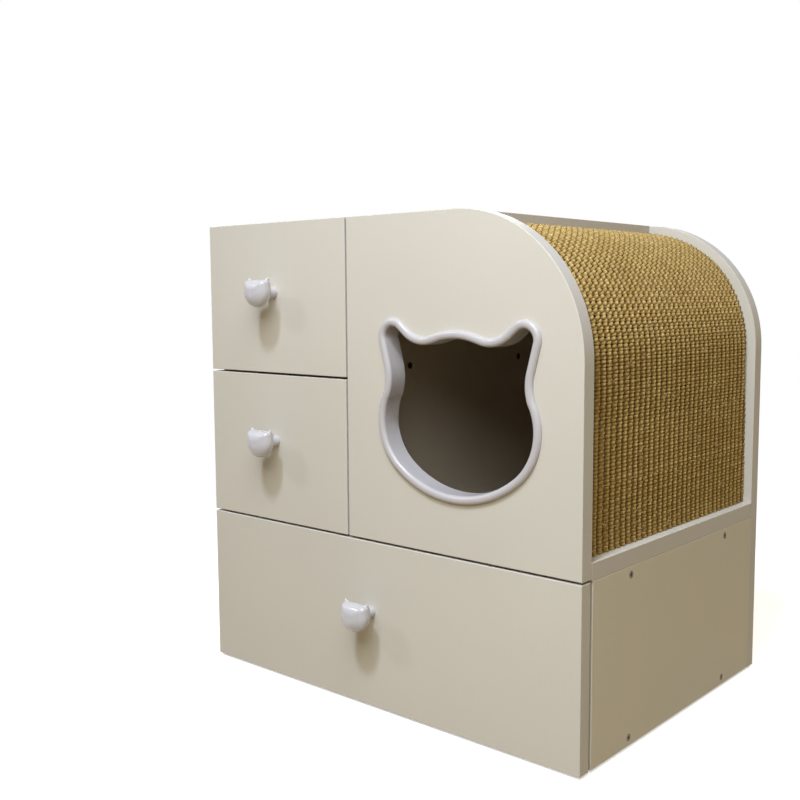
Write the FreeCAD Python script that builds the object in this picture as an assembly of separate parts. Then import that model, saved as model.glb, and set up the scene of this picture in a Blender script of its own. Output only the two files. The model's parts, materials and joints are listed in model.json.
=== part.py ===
import FreeCAD
import Part
import math
import os

# Litter box enclosure: a laminated board cabinet with a wide litter drawer below, two small
# drawers at the upper left, and at the upper right a cat chamber with a cat-head entrance and
# a rounded sisal side. Millimetres, +Z up. Everything is drawn from the cabinet's front left
# bottom corner (x to the right, y to the back, z up from the floor) and moved when it is
# saved, so that the origin is on the floor, in the middle of the footprint.

# Cabinet
WIDTH = 540.0
DEPTH = 405.0
HEIGHT = 545.0
BOARD = 18.0
EASE = 0.8
FOOT_HEIGHT = 3.0
LOWER_BOX_HEIGHT = 188.0
LOWER_SETBACK = 2.0
GAP_ABOVE_JOINT = 1.0
FRONT_GAP = 2.5
SPLIT_SHARE = 0.43667
PARTITION_LAP = 6.0
SMALL_SPLIT_SHARE = 0.5011
SHELF_ABOVE_SPLIT = 1.1
CORNER_RADIUS = 150.0
TOP_BOARD_REACH = 8.0

# Sisal side
SISAL_RECESS = 9.0
SISAL_THICKNESS = 7.0
BACKING_THICKNESS = 6.0
RIB_WIDTH = 16.0
RIB_THICKNESS = 18.0
SIDE_FIT = 0.3

# Deck opening down to the litter
OPENING_MARGIN_X = 24.0
OPENING_FRONT = 50.0
OPENING_BACK = 60.0
OPENING_CORNER = 25.0

# Cat-head entrance: arcs of the ring's outer edge, from the middle of the chin, as drawn for
# a chamber of the height DRAWN_ROOM. In another chamber the head is scaled to fit.
DRAWN_ROOM = 321.0
HEAD_SHIFT = 1.5
CHIN_ABOVE_DECK = 40.2
RING_CLEARANCE = 3.5
CHIN_RADIUS = 127.0
CHEEK_RADIUS = 67.8
CHEEK_ANGLE = 38.3
NECK_X = 138.9
NECK_Z = 125.8
NECK_RADIUS = 44.5
EAR_X = 84.1
EAR_Z = 169.7
EAR_RADIUS = 19.7
DIP_X = 42.5
DIP_Z = 203.0
DIP_RADIUS = 32.5
BROW_RADIUS = 90.0
BROW_Z = 177.8
BEAD_WIDTH = 9.0
BEAD_HEIGHT = 4.5
SLEEVE_WALL = 2.6
SLEEVE_DEPTH = 13.0
LAP_LENGTH = 4.0
LAP_WALL = 1.3
RING_FIT = 0.3
FLANGE_WIDTH = 10.0
FLANGE_THICKNESS = 2.0
BEAD_ROUNDING = 0.9
# Two tangent points nearer than this are one point
TOUCHING = 0.02
# The ring's screws, in mirrored pairs: the right-hand circle one lies beside, and its bearing
RING_SCREWS = (("chin", -65), ("cheek", 10), ("ear", 80))
HEAD_ORDER = ("chin", "cheek", "neck", "ear", "dip", "brow")

# Drawers
DRAWERS = ("litter_drawer", "lower_drawer", "upper_drawer")
DRAWER_FRONT = 16.0
DRAWER_BOARD = 12.0
DRAWER_BOTTOM = 5.0
GROOVE_DEPTH = 6.0
GROOVE_HEIGHT = 9.0
GROOVE_FIT = 0.15
UNDER_CLEARANCE = 8.0
OVER_CLEARANCE = 15.0

# Ball-bearing slides
SLIDE_SPACE = 12.7
SLIDE_HEIGHT = 35.0
SLIDE_SHEET = 1.2
SLIDE_FRONT = 3.0
BACK_CLEARANCE = 16.0
SLIDE_OVERLAP = 90.0
BALL = 4.0
BALL_FIT = 0.15
CAGE_LENGTH = 80.0
CAGE_WIDTH = 6.4
CAGE_SHEET = 0.8
CAGE_BALLS = 5
MEMBER_GAP = 1.0
LIP = 1.6

# Litter tray
TRAY_SIDE_GAP = 6.0
TRAY_HEIGHT = 95.0
TRAY_WALL = 2.5
TRAY_TAPER = 8.0
TRAY_RIM = 5.0
TRAY_CORNER = 28.0

# Cat-head knobs
KNOB_LENGTH = 36.0
KNOB_HEAD = 22.0
KNOB_WIDTH = 37.0
KNOB_CHIN = 16.5
KNOB_CORNER_OUT = 13.6
KNOB_CORNER_RISE = 10.4
KNOB_CORNER_RADIUS = 4.4
KNOB_BROW_RISE = 15.2
KNOB_BROW_RADIUS = 60.0
KNOB_EAR_OUT = 17.1
KNOB_EAR_RISE = 18.2
KNOB_EAR_BACK = 12.3
KNOB_EAR_LENGTH = 6.3
KNOB_EAR_TIP = 1.2
KNOB_EAR_LEAN = 26
KNOB_EAR_ANGLE = 32
KNOB_FLAT = 4.0
KNOB_STEM = 13.0
KNOB_SHOULDER = 1.5
# How full the head swells: 2 is an ellipsoid, more is squarer
KNOB_SWELL = 2.3
KNOB_SECTIONS = 8
# Height of each knob, as a share of its drawer front
LITTER_KNOB_SHARE = 0.578
LOWER_KNOB_SHARE = 0.55
UPPER_KNOB_SHARE = 0.535

# Fasteners
SCREW_HEAD = 8.0
SCREW_SHANK = 4.0
SCREW_LENGTH = 45.0
SHORT_SCREW_LENGTH = 30.0
SCREW_RECESS = 2.0
SCREW_FIT = 0.1
SCREW_FRONT = 94.0
SCREW_BACK = 91.0
BACK_SCREW_INSET = 40.0
DOWEL = 8.0
DOWEL_LENGTH = 30.0
DOWEL_SHALLOW = 10.0
DOWEL_INSET = 55.0
CROSS_WIDTH = 0.55
PAN_HEAD = 7.0
PAN_HEIGHT = 1.8
PAN_ROUNDING = 0.4
PAN_RECESS = 0.6
PAN_SHANK = 3.5
PAN_LENGTH = 12.0
RING_SCREW_HEAD = 5.0
RING_SCREW_SHANK = 2.5
RING_SCREW_LENGTH = 12.0
BOLT = 4.0
BOLT_HEAD = 9.0
BOLT_HEAD_HEIGHT = 2.4
BOLT_BITE = 11.0
FOOT = 22.0
FOOT_INSET = 45.0
FOOT_PIN = 2.5
FOOT_PIN_LENGTH = 12.0

# Planes that the pieces share
BASE = FOOT_HEIGHT
TOP = BASE + HEIGHT
FLOOR_TOP = BASE + BOARD
LOWER_TOP = BASE + LOWER_BOX_HEIGHT
CEILING = LOWER_TOP - BOARD
DECK_TOP = LOWER_TOP + BOARD
TOP_UNDER = TOP - BOARD
FRONT_SPLIT = LOWER_TOP + GAP_ABOVE_JOINT
DRAWER_SPLIT = FRONT_SPLIT + (TOP - FRONT_SPLIT) * SMALL_SPLIT_SHARE
SHELF_UNDER = DRAWER_SPLIT + SHELF_ABOVE_SPLIT
SHELF_TOP = SHELF_UNDER + BOARD
CARCASS_FRONT = BOARD
LOWER_FRONT = CARCASS_FRONT + LOWER_SETBACK
BACK_INNER = DEPTH - BOARD
RIGHT_INNER = WIDTH - BOARD
SPLIT_X = WIDTH * SPLIT_SHARE
PARTITION_LEFT = SPLIT_X - PARTITION_LAP
PARTITION_RIGHT = PARTITION_LEFT + BOARD
CORNER_X = WIDTH - CORNER_RADIUS
CORNER_Z = TOP - CORNER_RADIUS
TOP_BOARD_END = CORNER_X + TOP_BOARD_REACH
SISAL_OUTER = CORNER_RADIUS - SISAL_RECESS
BACKING_OUTER = SISAL_OUTER - SISAL_THICKNESS
BACKING_INNER = BACKING_OUTER - BACKING_THICKNESS
RIB_OUTER = BACKING_INNER
RIB_INNER = RIB_OUTER - RIB_WIDTH
CHAMBER_RIGHT = CORNER_X + BACKING_INNER
SLIDE_Y = LOWER_FRONT + SLIDE_FRONT
SLIDE_LENGTH = BACK_INNER - BACK_CLEARANCE - SLIDE_Y
TRAVEL = SLIDE_LENGTH - SLIDE_OVERLAP
BOX_BACK = SLIDE_Y + SLIDE_LENGTH
KNOB_X = (SPLIT_X - FRONT_GAP / 2) / 2
HEAD_X = (SPLIT_X + FRONT_GAP / 2 + WIDTH) / 2 + HEAD_SHIFT
DRAWN_HALF = (CHIN_RADIUS - CHEEK_RADIUS) * math.sin(math.radians(CHEEK_ANGLE)) + CHEEK_RADIUS
FLANGE_REACH = FLANGE_WIDTH + SLEEVE_WALL - BEAD_WIDTH
HEAD_ROOM = CORNER_X + RIB_INNER - RING_CLEARANCE - FLANGE_REACH - HEAD_X
HEAD_SCALE = min(HEAD_ROOM / DRAWN_HALF, (TOP_UNDER - DECK_TOP) / DRAWN_ROOM)
CAT_CHIN = DECK_TOP + CHIN_ABOVE_DECK * HEAD_SCALE
ORIGIN = FreeCAD.Vector(-WIDTH / 2, -(DEPTH - KNOB_LENGTH) / 2, 0)

X_AXIS = FreeCAD.Vector(1, 0, 0)
Y_AXIS = FreeCAD.Vector(0, 1, 0)
Z_AXIS = FreeCAD.Vector(0, 0, 1)


def vec(x, y, z):
    return FreeCAD.Vector(x, y, z)


def box(x0, x1, y0, y1, z0, z1):
    return Part.makeBox(x1 - x0, y1 - y0, z1 - z0, vec(x0, y0, z0))


def board(x0, x1, y0, y1, z0, z1):
    """A board with lightly eased edges."""
    solid = box(x0, x1, y0, y1, z0, z1)
    return solid.makeFillet(EASE, solid.Edges)


def join(solids):
    return Part.makeCompound(solids)


def fuse(solids):
    return solids[0].fuse(solids[1:]).removeSplitter()


def cut(solid, tools):
    return solid.cut(tools) if tools else solid


def save(name, shape):
    shape = shape.copy()
    shape.translate(ORIGIN)
    shape.exportStep("parts/" + name + ".step")


def along(direction, start, distance):
    return start + direction * distance


# Fasteners: each takes the point where its head or end meets the surface, and its direction

def countersunk(point, direction, length, grow=0.0):
    """A countersunk wood screw, or with grow its hole, driven from point along direction."""
    head = SCREW_HEAD / 2 + grow
    shank = SCREW_SHANK / 2 + grow
    cone = Part.makeCone(head, shank, head - shank, point, direction)
    stem = Part.makeCylinder(shank, length + grow, point, direction)
    solid = cone.fuse(stem)
    if grow:
        return solid.removeSplitter()
    cross = cross_slot(point, direction, SCREW_HEAD * CROSS_WIDTH, SCREW_RECESS)
    return solid.removeSplitter().cut(cross)


def cross_slot(point, direction, width, depth):
    """The cross recess in a screw's head."""
    slim = width / 4
    long_bar = Part.makeBox(width, slim, depth, vec(-width / 2, -slim / 2, 0))
    cross_bar = Part.makeBox(slim, width, depth, vec(-slim / 2, -width / 2, 0))
    cross = long_bar.fuse(cross_bar).removeSplitter()
    turn = FreeCAD.Rotation(Z_AXIS, direction)
    cross.Placement = FreeCAD.Placement(point, turn)
    return cross


def pan_head(point, direction, head, height, shank, length, grow=0.0):
    """A pan-head screw seated on point; with grow, the hole for its shank."""
    stem = Part.makeCylinder(shank / 2 + grow, length + grow, point, direction)
    if grow:
        return stem
    top = along(direction, point, -height)
    cap = Part.makeCylinder(head / 2, height, top, direction)
    rim = [edge for edge in cap.Edges if abs(edge.BoundBox.Center.sub(top).Length) < 0.01]
    cap = cap.makeFillet(height * PAN_ROUNDING, rim)
    cross = cross_slot(top, direction, head * CROSS_WIDTH, height * PAN_RECESS)
    return cap.fuse(stem).removeSplitter().cut(cross)


def dowel(start, direction, grow=0.0):
    """A wooden dowel pin with eased ends, or with grow its hole."""
    begin = along(direction, start, -grow)
    pin = Part.makeCylinder(DOWEL / 2 + grow, DOWEL_LENGTH + 2 * grow, begin, direction)
    if grow:
        return pin
    ends = [edge for edge in pin.Edges if edge.Closed and len(edge.Vertexes) == 1]
    return pin.makeChamfer(DOWEL / 10, ends)


def side_screw_points():
    """Screws that show on the sides, as (point, direction)."""
    points = []
    for y in (SCREW_FRONT, DEPTH - SCREW_BACK):
        for z in (BASE + BOARD / 2, LOWER_TOP - BOARD / 2):
            points.append((vec(WIDTH, y, z), -X_AXIS))
            points.append((vec(0, y, z), X_AXIS))
        shelf_z = SHELF_UNDER + BOARD / 2
        points.append((vec(PARTITION_RIGHT, y, shelf_z), -X_AXIS))
        points.append((vec(0, y, shelf_z), X_AXIS))
    return points


def back_screw_points():
    """Screws through the back panel into the edges of the boards."""
    half = BOARD / 2
    places = []
    for x in (half, WIDTH - half):
        places.append((x, BASE + BACK_SCREW_INSET))
        places.append((x, LOWER_TOP - BACK_SCREW_INSET))
    for x in (WIDTH / 3, WIDTH * 2 / 3):
        places.append((x, BASE + half))
        places.append((x, LOWER_TOP + half))
    for x in (half, PARTITION_LEFT + half):
        places.append((x, DECK_TOP + BACK_SCREW_INSET))
        places.append((x, TOP_UNDER - BACK_SCREW_INSET))
    for x in (PARTITION_LEFT / 2, (PARTITION_RIGHT + TOP_BOARD_END) / 2):
        places.append((x, TOP - half))
    return [(vec(x, DEPTH, z), -Y_AXIS) for x, z in places]


def deck_screw_points():
    """Short screws from below, through the lower box's top into the deck."""
    points = []
    for x in (DOWEL_INSET * 2, RIGHT_INNER - BOARD / 2):
        for y in (LOWER_FRONT + BOARD, BACK_INNER - BOARD):
            points.append((vec(x, y, CEILING), Z_AXIS))
    return points


def rib_screw_points(front):
    """Short screws that hold one curved rib to its panel."""
    middle = (RIB_OUTER + RIB_INNER) / 2
    low = (CORNER_X + middle, DECK_TOP + BACK_SCREW_INSET)
    high = (CORNER_X + middle, CORNER_Z)
    slope = math.radians(70)
    crown = (CORNER_X + middle * math.cos(slope), CORNER_Z + middle * math.sin(slope))
    if front:
        y = CARCASS_FRONT + RIB_THICKNESS
        direction = -Y_AXIS
    else:
        y = BACK_INNER - RIB_THICKNESS
        direction = Y_AXIS
    return [(vec(x, y, z), direction) for x, z in (low, high, crown)]


def dowel_points():
    """Dowels of the upper box and of the fixed front panel, as (start, direction)."""
    points = []
    for x in (BOARD / 2, PARTITION_LEFT + BOARD / 2):
        for y in (CARCASS_FRONT + DOWEL_INSET, BACK_INNER - DOWEL_INSET):
            points.append((vec(x, y, DECK_TOP - DOWEL_SHALLOW), Z_AXIS))
            points.append((vec(x, y, TOP_UNDER + DOWEL_SHALLOW), -Z_AXIS))
    in_panel = CARCASS_FRONT - DOWEL_SHALLOW
    for x in (PARTITION_RIGHT + DOWEL_INSET, RIGHT_INNER - DOWEL_INSET):
        points.append((vec(x, in_panel, LOWER_TOP + BOARD / 2), Y_AXIS))
    for x in (PARTITION_RIGHT + DOWEL_INSET, TOP_BOARD_END - DOWEL_INSET):
        points.append((vec(x, in_panel, TOP - BOARD / 2), Y_AXIS))
    panel_x = (SPLIT_X + FRONT_GAP / 2 + PARTITION_RIGHT) / 2
    for z in (DECK_TOP + BACK_SCREW_INSET, TOP_UNDER - BACK_SCREW_INSET):
        points.append((vec(panel_x, in_panel, z), Y_AXIS))
    return points


def screw_holes(points, length=SCREW_LENGTH):
    return [countersunk(point, direction, length, SCREW_FIT) for point, direction in points]


def dowel_holes():
    return [dowel(point, direction, SCREW_FIT) for point, direction in dowel_points()]


# Cat-head outline: circles joined by tangents, drawn in the front plane

def head_circles(offset):
    """The circles round the cat's head, anticlockwise, with the outline moved by offset."""
    reach = CHIN_RADIUS - CHEEK_RADIUS
    angle = math.radians(CHEEK_ANGLE)
    cheek_x = reach * math.sin(angle)
    cheek_z = CHIN_RADIUS - reach * math.cos(angle)
    right = [
        (cheek_x, cheek_z, CHEEK_RADIUS, 1),
        (NECK_X, NECK_Z, NECK_RADIUS, -1),
        (EAR_X, EAR_Z, EAR_RADIUS, 1),
        (DIP_X, DIP_Z, DIP_RADIUS, -1),
    ]
    left = [(-x, z, radius, turn) for x, z, radius, turn in reversed(right)]
    chin = [(0, CHIN_RADIUS, CHIN_RADIUS, 1)]
    brow = [(0, BROW_Z - BROW_RADIUS, BROW_RADIUS, 1)]
    moved = []
    for x, z, radius, turn in chin + right + brow + left:
        centre_x = HEAD_X + x * HEAD_SCALE
        centre_z = CAT_CHIN + z * HEAD_SCALE
        moved.append((centre_x, centre_z, radius * HEAD_SCALE + turn * offset, turn))
    return moved


def tangent(first, second):
    """The straight tangent from one circle to the next, as its two end points (x, z)."""
    dx = second[0] - first[0]
    dz = second[1] - first[1]
    distance = math.hypot(dx, dz)
    signed_first = first[2] * first[3]
    signed_second = second[2] * second[3]
    lean = max(-1.0, min(1.0, (signed_first - signed_second) / distance))
    rise = math.sqrt(1 - lean * lean)
    nx = (dz * rise + dx * lean) / distance
    nz = (-dx * rise + dz * lean) / distance
    start = (first[0] + nx * signed_first, first[1] + nz * signed_first)
    end = (second[0] + nx * signed_second, second[1] + nz * signed_second)
    return start, end


def belt_wire(circles, y):
    """A closed wire of arcs and tangent lines round the circles, in the plane at y."""
    count = len(circles)
    lines = []
    for i in range(count):
        start, end = tangent(circles[i], circles[(i + 1) % count])
        touching = math.dist(start, end) < TOUCHING
        lines.append((start, start) if touching else (start, end))
    edges = []
    for i, (cx, cz, radius, turn) in enumerate(circles):
        start = lines[i - 1][1]
        end, following = lines[i]
        a0 = math.atan2(start[1] - cz, start[0] - cx)
        a1 = math.atan2(end[1] - cz, end[0] - cx)
        sweep = ((a1 - a0) * turn) % (2 * math.pi) * turn
        middle = a0 + sweep / 2
        mid = vec(cx + radius * math.cos(middle), y, cz + radius * math.sin(middle))
        arc_end = vec(end[0], y, end[1])
        edges.append(Part.Arc(vec(start[0], y, start[1]), mid, arc_end).toShape())
        if following != end:
            edges.append(Part.makeLine(arc_end, vec(following[0], y, following[1])))
    return Part.Wire(edges)


def head_prism(offset, y0, y1):
    """The cat-head shape, moved outwards by offset, from y0 back to y1."""
    return Part.Face(belt_wire(head_circles(offset), y0)).extrude(vec(0, y1 - y0, 0))


# Carcass

def bottom_board():
    solid = board(BOARD, RIGHT_INNER, LOWER_FRONT, BACK_INNER, BASE, FLOOR_TOP)
    pins = [foot_pin(x, y, SCREW_FIT) for x, y in foot_places()]
    return cut(solid, screw_holes(side_screw_points() + back_screw_points()) + pins)


def lower_side(x0, x1):
    solid = board(x0, x1, LOWER_FRONT, BACK_INNER, BASE, LOWER_TOP)
    holes = screw_holes(side_screw_points() + back_screw_points())
    return cut(solid, holes + cabinet_slide_holes())


def lower_top_board():
    solid = board(BOARD, RIGHT_INNER, LOWER_FRONT, BACK_INNER, CEILING, LOWER_TOP)
    holes = screw_holes(side_screw_points())
    holes += screw_holes(deck_screw_points(), SHORT_SCREW_LENGTH)
    return cut(solid, holes + [deck_opening()])


def deck_opening():
    """The rounded well that the cat steps through, down to the litter."""
    x0 = PARTITION_RIGHT + OPENING_MARGIN_X
    x1 = CHAMBER_RIGHT - OPENING_MARGIN_X
    y0 = CARCASS_FRONT + OPENING_FRONT
    y1 = BACK_INNER - OPENING_BACK
    well = box(x0, x1, y0, y1, CEILING - BOARD, DECK_TOP + BOARD)
    uprights = [edge for edge in well.Edges if abs(edge.tangentAt(0).z) > 0.9]
    return well.makeFillet(OPENING_CORNER, uprights)


def deck_board():
    solid = board(0, WIDTH, CARCASS_FRONT, BACK_INNER, LOWER_TOP, DECK_TOP)
    holes = screw_holes(back_screw_points()) + dowel_holes()
    holes += screw_holes(deck_screw_points(), SHORT_SCREW_LENGTH)
    return cut(solid, holes + [deck_opening()])


def upper_left_side():
    solid = board(0, BOARD, CARCASS_FRONT, BACK_INNER, DECK_TOP, TOP_UNDER)
    holes = screw_holes(side_screw_points() + back_screw_points()) + dowel_holes()
    return cut(solid, holes + cabinet_slide_holes())


def partition_panel():
    solid = board(PARTITION_LEFT, PARTITION_RIGHT, CARCASS_FRONT, BACK_INNER, DECK_TOP, TOP_UNDER)
    holes = screw_holes(side_screw_points() + back_screw_points()) + dowel_holes()
    return cut(solid, holes + cabinet_slide_holes())


def drawer_shelf():
    solid = board(BOARD, PARTITION_LEFT, CARCASS_FRONT, BACK_INNER, SHELF_UNDER, SHELF_TOP)
    return cut(solid, screw_holes(side_screw_points()))


def top_board():
    solid = board(0, TOP_BOARD_END, CARCASS_FRONT, BACK_INNER, TOP_UNDER, TOP)
    corner = Part.makeCylinder(CORNER_RADIUS, DEPTH, vec(CORNER_X, 0, CORNER_Z), Y_AXIS)
    beyond = box(CORNER_X, WIDTH, 0, DEPTH, CORNER_Z, TOP + BOARD).cut(corner)
    return cut(solid, screw_holes(back_screw_points()) + dowel_holes() + [beyond])


def round_panel(x0, z0, y0, y1):
    """A panel whose top right corner is rounded, with eased edges."""
    arc_middle = CORNER_RADIUS * math.sqrt(0.5)
    corner_start = vec(WIDTH, y0, CORNER_Z)
    corner_middle = vec(CORNER_X + arc_middle, y0, CORNER_Z + arc_middle)
    corner_end = vec(CORNER_X, y0, TOP)
    edges = [
        Part.makeLine(vec(x0, y0, z0), vec(WIDTH, y0, z0)),
        Part.makeLine(vec(WIDTH, y0, z0), corner_start),
        Part.Arc(corner_start, corner_middle, corner_end).toShape(),
        Part.makeLine(corner_end, vec(x0, y0, TOP)),
        Part.makeLine(vec(x0, y0, TOP), vec(x0, y0, z0)),
    ]
    solid = Part.Face(Part.Wire(edges)).extrude(vec(0, y1 - y0, 0))
    outline = [edge for edge in solid.Edges if edge.BoundBox.YLength < EASE]
    return solid.makeFillet(EASE, outline)


def back_panel():
    solid = round_panel(0, BASE, BACK_INNER, DEPTH)
    holes = screw_holes(back_screw_points())
    holes += screw_holes(rib_screw_points(False), SHORT_SCREW_LENGTH)
    return cut(solid, holes)


def entry_front_panel():
    solid = round_panel(SPLIT_X + FRONT_GAP / 2, FRONT_SPLIT + FRONT_GAP / 2, 0, CARCASS_FRONT)
    doorway = head_prism(sleeve_outer() + RING_FIT, -BOARD, 2 * BOARD)
    holes = screw_holes(rib_screw_points(True), SHORT_SCREW_LENGTH) + dowel_holes()
    holes += [ring_screw(point, SCREW_FIT) for point in ring_screw_points()]
    return cut(solid, [doorway] + holes)


# Sisal side

def side_skin(outer, inner, y0, y1, z0):
    """A sheet that stands on z0, runs up the side and bends over to the top board's end."""
    blank = box(CORNER_X, CORNER_X + outer, y0, y1, z0, CORNER_Z)
    bend = Part.makeCylinder(outer, y1 - y0, vec(CORNER_X, y0, CORNER_Z), Y_AXIS)
    blank = blank.fuse(bend.common(box(CORNER_X, WIDTH, y0, y1, CORNER_Z, TOP)))
    core = box(0, CORNER_X + inner, y0 - BOARD, y1 + BOARD, z0 - BOARD, CORNER_Z)
    hollow = Part.makeCylinder(inner, y1 - y0 + 2 * BOARD, vec(CORNER_X, y0 - BOARD, CORNER_Z), Y_AXIS)
    front_of_board = box(0, TOP_BOARD_END + SIDE_FIT, y0 - BOARD, y1 + BOARD, CORNER_Z, TOP + BOARD)
    return blank.cut([core, hollow, front_of_board]).removeSplitter()


def curved_backing():
    y0 = CARCASS_FRONT + SIDE_FIT
    y1 = BACK_INNER - SIDE_FIT
    return side_skin(BACKING_OUTER, BACKING_INNER, y0, y1, DECK_TOP)


def sisal_mat():
    y0 = CARCASS_FRONT + SIDE_FIT
    y1 = BACK_INNER - SIDE_FIT
    return side_skin(SISAL_OUTER, BACKING_OUTER, y0, y1, DECK_TOP)


def curved_rib(y0, y1, front):
    """A flat rib along a panel, cut to the inside of the bent backing."""
    rib = side_skin(RIB_OUTER, RIB_INNER, y0, y1, DECK_TOP)
    return cut(rib, screw_holes(rib_screw_points(front), SHORT_SCREW_LENGTH))


# Entrance ring

def sleeve_inner():
    return -BEAD_WIDTH


def sleeve_outer():
    return sleeve_inner() + SLEEVE_WALL


def entry_ring_front():
    """The half-round bead on the panel and the sleeve that lines the doorway."""
    plate = head_prism(0, -BEAD_HEIGHT, 0).cut(head_prism(sleeve_inner(), -BOARD, BOARD))
    crest = [edge for edge in plate.Edges if edge.BoundBox.YMax < -BEAD_HEIGHT / 2]
    bead = plate.makeFillet(BEAD_HEIGHT * BEAD_ROUNDING, crest)
    full = SLEEVE_DEPTH - LAP_LENGTH
    sleeve = head_prism(sleeve_outer(), 0, full).cut(head_prism(sleeve_inner(), -BOARD, BOARD))
    outer_half = head_prism(sleeve_outer(), full, SLEEVE_DEPTH)
    tongue = outer_half.cut(head_prism(sleeve_outer() - LAP_WALL, 0, BOARD))
    return fuse([bead, sleeve, tongue])


def ring_screw_points():
    """Places on the back ring's flange, in the plane of the panel's back face."""
    reach = sleeve_outer() + (FLANGE_WIDTH + SLEEVE_WALL) / 2
    circles = head_circles(reach)
    places = []
    for name, angle in RING_SCREWS:
        index = HEAD_ORDER.index(name)
        bearing = math.radians(angle)
        for side, circle in ((1, circles[index]), (-1, circles[-index])):
            cx, cz, radius, turn = circle
            across = side * radius * math.cos(bearing)
            places.append((cx + across, cz + radius * math.sin(bearing)))
    return [vec(x, CARCASS_FRONT + FLANGE_THICKNESS, z) for x, z in places]


def ring_screw(point, grow=0.0):
    return pan_head(point, -Y_AXIS, RING_SCREW_HEAD, FLANGE_THICKNESS, RING_SCREW_SHANK,
                    RING_SCREW_LENGTH, grow)


def entry_ring_back():
    """The inside ring: a flange on the panel's back and a sleeve that laps the front one."""
    inner = sleeve_inner()
    y_back = CARCASS_FRONT + FLANGE_THICKNESS
    flange = head_prism(sleeve_outer() + FLANGE_WIDTH, CARCASS_FRONT, y_back)
    lap_start = SLEEVE_DEPTH - LAP_LENGTH + RING_FIT
    lap = head_prism(sleeve_outer() - LAP_WALL - RING_FIT / 2, lap_start, SLEEVE_DEPTH + RING_FIT)
    sleeve = head_prism(sleeve_outer(), SLEEVE_DEPTH + RING_FIT, y_back)
    ring = fuse([flange, lap, sleeve]).cut(head_prism(inner, -BOARD, 2 * BOARD))
    return cut(ring, [ring_screw(point, SCREW_FIT) for point in ring_screw_points()])


# Slides

def slide_lines():
    """Each slide as (drawer, face, side, z): the face it hangs on, +1 for right, its middle."""
    lines = []
    for name in DRAWERS:
        x0, x1, z0, z1 = drawer_box(name)
        middle = (z0 + z1) / 2
        lines.append((name, x0, -1, middle))
        lines.append((name, x1, 1, middle))
    return lines


def slide_box(face, side, near, far, y0, y1, z0, z1):
    """A box whose near and far are measured out from the drawer's face."""
    a = face + side * near
    b = face + side * far
    return box(min(a, b), max(a, b), y0, y1, z0, z1)


def cabinet_member(face, side, z):
    """The fixed channel of a slide, open towards the drawer."""
    y0 = SLIDE_Y
    y1 = SLIDE_Y + SLIDE_LENGTH
    half = SLIDE_HEIGHT / 2
    near = MEMBER_GAP * 2
    web = slide_box(face, side, SLIDE_SPACE - SLIDE_SHEET, SLIDE_SPACE, y0, y1, z - half, z + half)
    pieces = [web]
    for up in (-1, 1):
        outer = z + up * half
        inner = z + up * (half - SLIDE_SHEET)
        tip = z + up * (half - SLIDE_SHEET - LIP)
        low, high = sorted((outer, inner))
        pieces.append(slide_box(face, side, near, SLIDE_SPACE, y0, y1, low, high))
        low, high = sorted((outer, tip))
        pieces.append(slide_box(face, side, near, near + SLIDE_SHEET, y0, y1, low, high))
    solid = fuse(pieces)
    holes = [slide_screw(face, side, SLIDE_SPACE, y, z, SCREW_FIT) for y in slide_screw_ys()]
    return cut(solid, holes)


def drawer_member(face, side, z):
    """The moving channel of a slide, fixed to the drawer's side."""
    y0 = SLIDE_Y
    y1 = SLIDE_Y + SLIDE_LENGTH
    half = drawer_member_half()
    reach = SLIDE_SPACE - SLIDE_SHEET - 2 * MEMBER_GAP
    pieces = [slide_box(face, side, 0, SLIDE_SHEET, y0, y1, z - half, z + half)]
    for up in (-1, 1):
        low, high = sorted((z + up * half, z + up * (half - SLIDE_SHEET)))
        pieces.append(slide_box(face, side, 0, reach, y0, y1, low, high))
    solid = fuse(pieces)
    holes = [slide_screw(face, side, 0, y, z, SCREW_FIT) for y in slide_screw_ys()]
    return cut(solid, holes)


def drawer_member_half():
    return SLIDE_HEIGHT / 2 - SLIDE_SHEET - BALL - 2 * BALL_FIT


def slide_screw_ys():
    return [SLIDE_Y + DOWEL_INSET, SLIDE_Y + SLIDE_LENGTH - DOWEL_INSET]


def slide_screw(face, side, offset, y, z, grow=0.0):
    """A slide's screw or its hole: at no offset into the drawer's side, else into the cabinet."""
    into = side if offset else -side
    start = vec(face + side * offset - into * SLIDE_SHEET, y, z)
    return pan_head(start, X_AXIS * into, PAN_HEAD, PAN_HEIGHT, PAN_SHANK, PAN_LENGTH, grow)


def cabinet_slide_holes():
    holes = []
    for name, face, side, z in slide_lines():
        holes += [slide_screw(face, side, SLIDE_SPACE, y, z, SCREW_FIT) for y in slide_screw_ys()]
    return holes


def ball_cage(face, side, z, up):
    """One strip of a slide's ball retainer with its balls."""
    middle = z + up * (drawer_member_half() + BALL_FIT + BALL / 2)
    y0 = SLIDE_Y + TRAVEL / 2 + (SLIDE_OVERLAP - CAGE_LENGTH) / 2
    centre = SLIDE_SPACE / 2
    low = centre - CAGE_WIDTH / 2
    high = centre + CAGE_WIDTH / 2
    half = CAGE_SHEET / 2
    strip = slide_box(face, side, low, high, y0, y0 + CAGE_LENGTH, middle - half, middle + half)
    pitch = CAGE_LENGTH / CAGE_BALLS
    x = face + side * centre
    solids = []
    pockets = []
    for index in range(CAGE_BALLS):
        point = vec(x, y0 + pitch * (index + 0.5), middle)
        pockets.append(Part.makeCylinder(BALL / 2 + BALL_FIT, BALL, point - Z_AXIS * BALL / 2, Z_AXIS))
        solids.append(Part.makeSphere(BALL / 2, point))
    return [strip.cut(pockets)] + solids


# Drawers

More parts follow.
